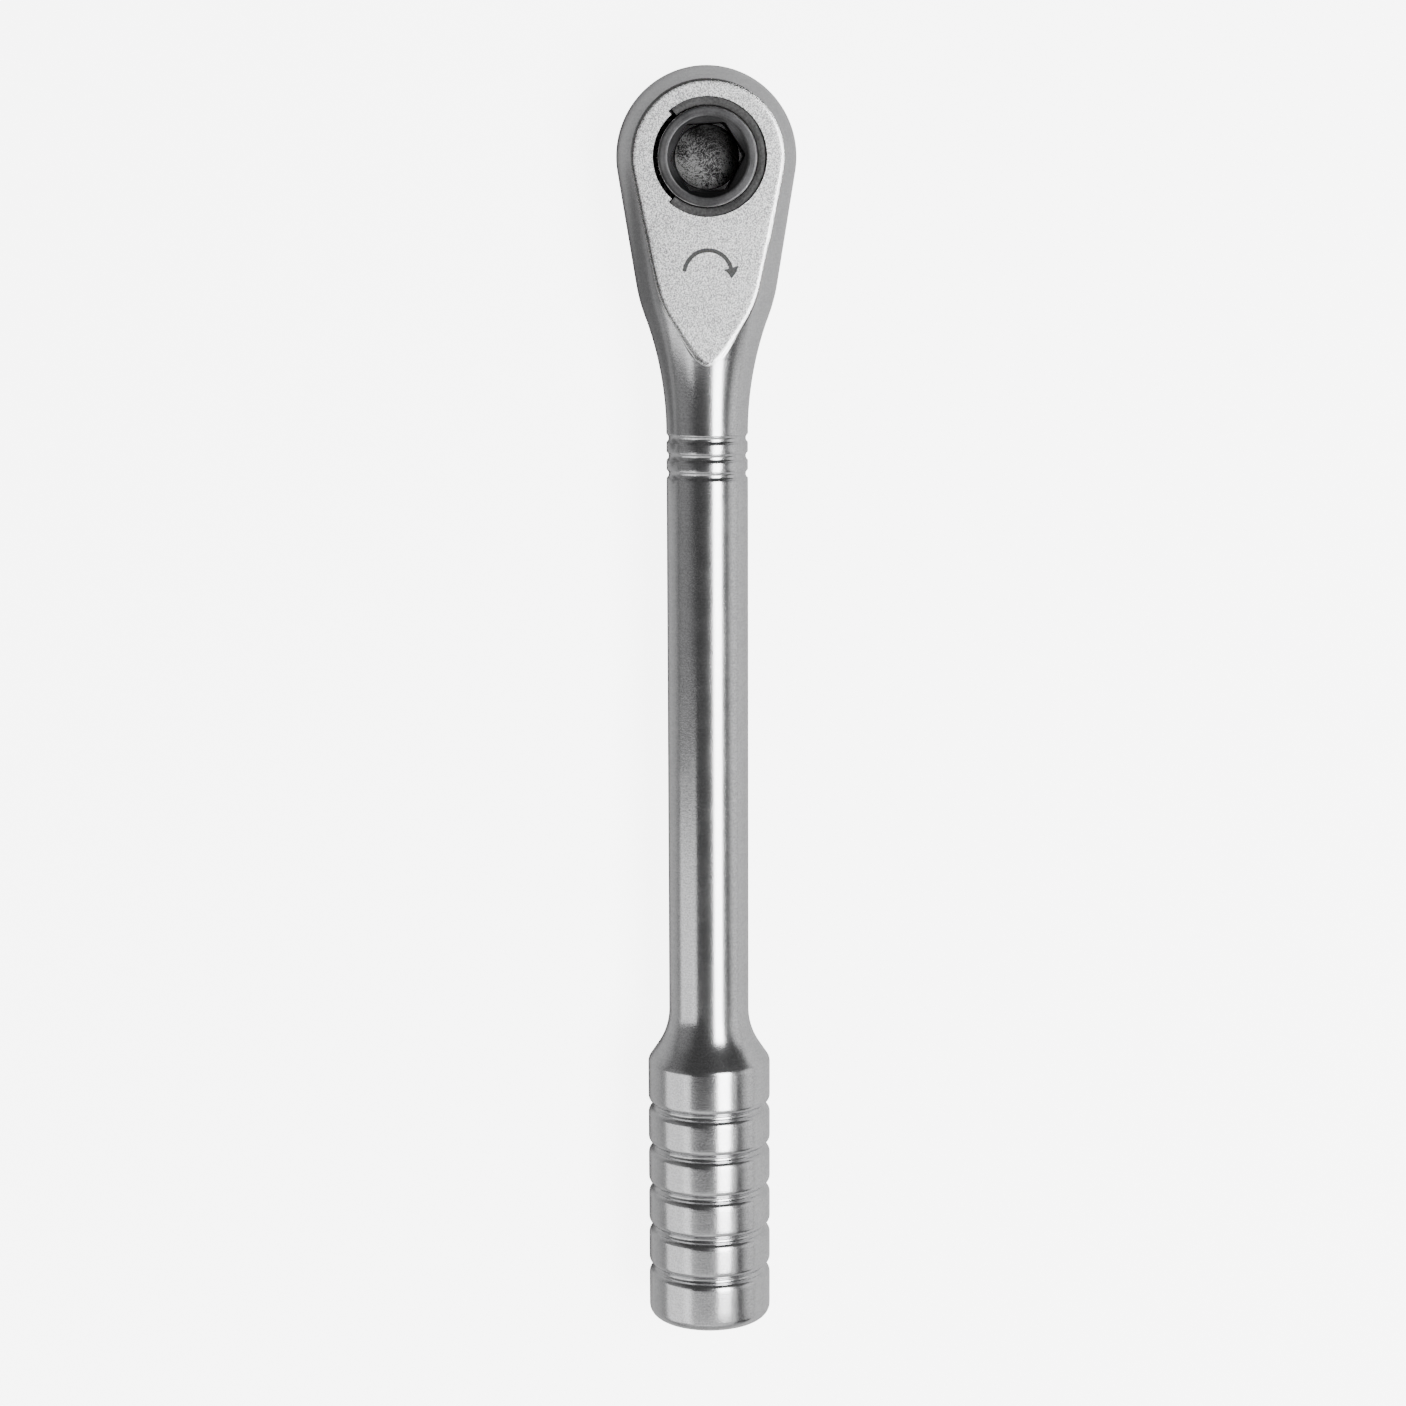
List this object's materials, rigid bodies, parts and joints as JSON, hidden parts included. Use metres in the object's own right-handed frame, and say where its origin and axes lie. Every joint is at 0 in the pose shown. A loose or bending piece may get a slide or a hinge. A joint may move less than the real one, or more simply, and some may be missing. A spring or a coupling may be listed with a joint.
{
  "type": "ratchet wrench",
  "caption": "Compact one-way ratchet wrench with a flat round head, a hexagon bit socket held by a snap ring, a waisted neck, a slim round shaft and a grooved cylindrical grip.",
  "frame": {"origin": "where the drive axis meets the wrench's mid-plane, at the centre of the gear", "axes": "+Z along the drive axis, out of the front face; +X along the handle, from the drive to the grip's butt; +Y completes the right-handed frame"},
  "size_m": [0.127, 0.0176, 0.0124],
  "materials": {
    "satin_steel": "satin chromed steel, turned, with blasted flats",
    "black_steel": "phosphated black, turned",
    "ring_steel": "phosphated black spring steel, stamped",
    "magnet": "worn nickel over a sintered disc",
    "hardened_steel": "ground and hardened",
    "spring_wire": "bright drawn wire"
  },
  "bodies": {
    "body": {"wrench_body": "satin_steel", "retaining_ring": "ring_steel", "pawl_spring": "spring_wire"},
    "gear": {"drive_gear": "black_steel", "bit_magnet": "magnet"},
    "pawl": {"pawl": "hardened_steel"}
  },
  "joints": [
    {"name": "drive_spin", "type": "hinge", "parent": "body", "child": "gear", "pos_m": [0, 0, 0], "axis": [0, 0, 1], "continuous": true},
    {"name": "pawl_lift", "type": "slide", "parent": "body", "child": "pawl", "axis": [1, 0, 0], "range_m": [0, 0.0005], "stiffness_N_per_m": 800, "springref_m": -0.001, "deforming": ["pawl_spring"]}
  ]
}
